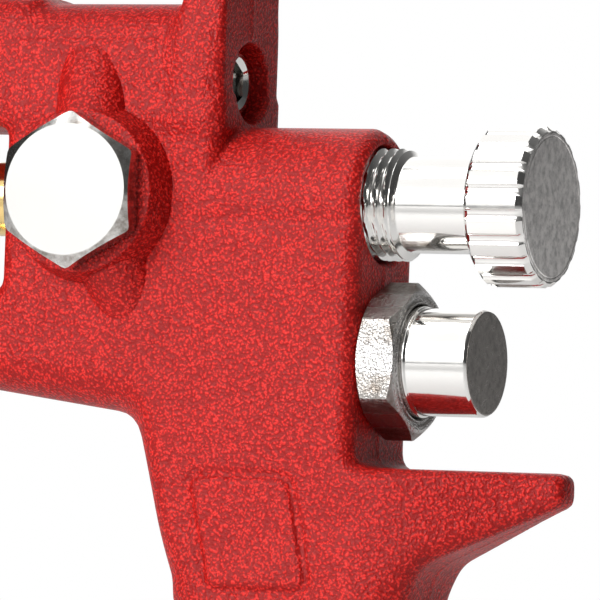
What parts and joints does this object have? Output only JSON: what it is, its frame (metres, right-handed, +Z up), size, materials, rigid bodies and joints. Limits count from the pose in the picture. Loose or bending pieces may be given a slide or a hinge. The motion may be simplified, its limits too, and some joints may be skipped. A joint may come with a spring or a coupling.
{
  "type": "airbrush gun",
  "caption": "Gravity-feed spray gun with a red textured cast body, top cup, hooked strap, side port plug, fluid knob, air valve cap and trigger.",
  "frame": {"origin": "peg point at the top of the hanging hook's inner bend", "axes": "+X to the gun's rear, parallel to the fluid needle; +Y to the gun's right side; +Z up along the cup's axis"},
  "size_m": [0.1598, 0.0904, 0.2854],
  "materials": {
    "red_paint": "textured",
    "nickel": "bright nickel plate",
    "polished_steel": "polished",
    "brass": "bright",
    "steel": "turned",
    "aluminium": "spun",
    "spring_steel": "drawn wire",
    "rubber": "matt",
    "nylon": "satin",
    "black_plastic": "satin"
  },
  "bodies": {
    "gun": {"gun_body": "red_paint", "side_port_plug": "nickel", "passage_plug": "nickel", "valve_cap_nut": "nickel", "valve_cap": "nickel", "valve_seat": "brass", "stem_gland": "brass", "needle_bush": "brass", "air_inlet": "nickel", "pivot_screw": "steel", "pivot_nut": "steel", "packing_nut": "brass", "needle_packing": "nylon", "fluid_nozzle": "steel", "air_baffle": "nylon", "cup_gasket": "nylon", "cup_stem": "steel", "cup": "aluminium", "strainer": "nylon", "knob_friction_ring": "nylon", "valve_nut_seal": "rubber", "stem_packing": "rubber", "needle_spring": "spring_steel", "valve_spring": "spring_steel"},
    "trigger_lever": {"trigger": "polished_steel"},
    "needle": {"needle_sleeve": "steel", "fluid_needle": "steel"},
    "air_valve": {"valve_stem": "steel", "valve_seal": "nylon"},
    "spring_thrust": {"spring_seat": "brass"},
    "fluid_control": {"knob_stem": "nickel", "fluid_knob": "nickel"},
    "shaping_cap": {"air_cap": "brass"},
    "slip_ring": {"ring_washer": "nylon"},
    "retaining_ring": {"cap_ring": "polished_steel"},
    "lid_packing": {"lid_seal": "rubber"},
    "lid": {"cup_lid": "black_plastic"},
    "vent": {"vent_cap": "black_plastic"}
  },
  "joints": [
    {"name": "trigger_pull", "type": "hinge", "parent": "gun", "child": "trigger_lever", "pos_m": [-0.0393, 0, -0.0212], "axis": [0, -1, 0], "range_deg": [0, 10], "stiffness_Nm_per_rad": 1.7, "springref_deg": -8.59},
    {"name": "needle_travel", "type": "slide", "parent": "gun", "child": "needle", "axis": [1, 0, 0], "range_m": [0, 0.00385], "deforming": ["needle_spring"]},
    {"name": "valve_travel", "type": "slide", "parent": "gun", "child": "air_valve", "axis": [1, 0, 0], "range_m": [0, 0.0073], "deforming": ["valve_spring"]},
    {"name": "knob_travel", "type": "slide", "parent": "gun", "child": "spring_thrust", "axis": [1, 0, 0], "range_m": [-0.00255, 0.0038], "deforming": ["needle_spring"]},
    {"name": "knob_turn", "type": "hinge", "parent": "spring_thrust", "child": "fluid_control", "pos_m": [0.0347, 0, -0.0422], "axis": [1, 0, 0], "range_deg": [-720, 1080]},
    {"name": "air_cap_turn", "type": "hinge", "parent": "gun", "child": "shaping_cap", "pos_m": [-0.0773, 0, -0.0422], "axis": [1, 0, 0], "range_deg": [-90, 90]},
    {"name": "ring_travel", "type": "slide", "parent": "gun", "child": "slip_ring", "axis": [-1, 0, 0], "range_m": [0, 0.0031]},
    {"name": "ring_turn", "type": "hinge", "parent": "slip_ring", "child": "retaining_ring", "pos_m": [-0.0773, 0, -0.0422], "axis": [-1, 0, 0], "range_deg": [0, 720]},
    {"name": "lid_travel", "type": "slide", "parent": "gun", "child": "lid_packing", "axis": [0, 0, 1], "range_m": [0, 0.0091]},
    {"name": "lid_turn", "type": "hinge", "parent": "lid_packing", "child": "lid", "pos_m": [-0.0577, 0, 0.0978], "axis": [0, 0, 1], "range_deg": [0, 1080]},
    {"name": "vent_turn", "type": "hinge", "parent": "lid", "child": "vent", "pos_m": [-0.0577, 0, 0.1038], "axis": [0, 0, 1], "range_deg": [0, 90]}
  ],
  "couplings": [
    {"joint": "needle_travel", "follows": "trigger_pull", "m_per_rad": 0.0217},
    {"joint": "valve_travel", "follows": "trigger_pull", "m_per_rad": 0.0414},
    {"joint": "knob_travel", "follows": "knob_turn", "m_per_rad": 0.00019894},
    {"joint": "ring_travel", "follows": "ring_turn", "m_per_rad": 0.00023873},
    {"joint": "lid_travel", "follows": "lid_turn", "m_per_rad": 0.00047746}
  ]
}
